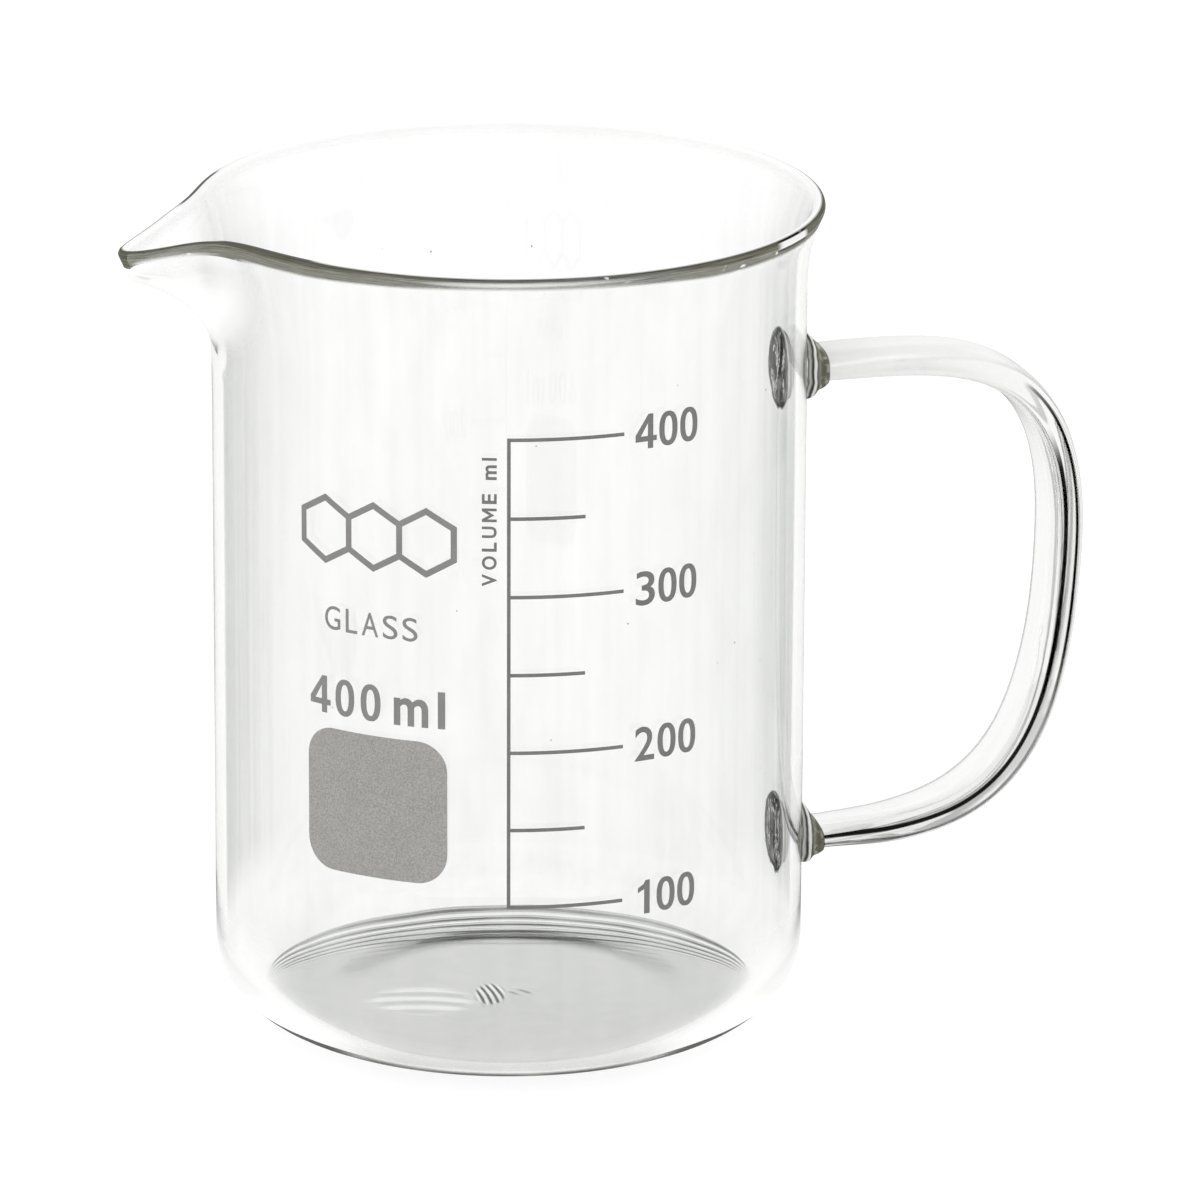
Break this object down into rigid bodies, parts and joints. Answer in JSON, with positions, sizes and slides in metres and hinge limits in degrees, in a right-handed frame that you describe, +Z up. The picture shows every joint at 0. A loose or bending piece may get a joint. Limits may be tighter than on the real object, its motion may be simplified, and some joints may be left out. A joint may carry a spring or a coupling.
{
  "type": "handled glass beaker",
  "caption": "Low-form glass beaker with a flared rim, pouring spout, fused strap handle and a printed volume scale.",
  "frame": {"origin": "centre of the flat foot, on the surface the beaker stands on", "axes": "+Z up along the beaker's axis, +X towards the handle, -X towards the pouring spout, +Y to the left of the handle seen from behind it"},
  "size_m": [0.1354, 0.0844, 0.1134],
  "materials": {
    "glass_wall": "clear borosilicate glass, fire polished, faint green-grey where it is seen through its thickness",
    "glass_strap": "clear drawn glass strap with slight draw lines along it",
    "glass_seal": "hot-worked clear glass with fine folds and ripples",
    "enamel_print": "fired-on grey enamel, thin screen print, slightly grainy edges",
    "enamel_patch": "fired-on lighter grey enamel, matt and finely speckled, for pencil marking"
  },
  "bodies": {
    "root": {"vessel": "glass_wall", "handle": "glass_strap", "upper_seal": "glass_seal", "lower_seal": "glass_seal", "marking_patch": "enamel_patch", "num_100_a": "enamel_print", "num_100_b": "enamel_print", "num_100_c": "enamel_print", "num_200_a": "enamel_print", "num_200_b": "enamel_print", "num_200_c": "enamel_print", "num_300_a": "enamel_print", "num_300_b": "enamel_print", "num_300_c": "enamel_print", "num_400_a": "enamel_print", "num_400_b": "enamel_print", "num_400_c": "enamel_print", "capacity_a": "enamel_print", "capacity_b": "enamel_print", "capacity_c": "enamel_print", "capacity_m": "enamel_print", "capacity_l": "enamel_print", "legend_1": "enamel_print", "legend_2": "enamel_print", "legend_3": "enamel_print", "legend_4": "enamel_print", "legend_5": "enamel_print", "legend_6": "enamel_print", "legend_7": "enamel_print", "legend_8": "enamel_print", "glass_1": "enamel_print", "glass_2": "enamel_print", "glass_3": "enamel_print", "glass_4": "enamel_print", "glass_5": "enamel_print", "scale_comb": "enamel_print", "emblem": "enamel_print"}
  },
  "joints": []
}
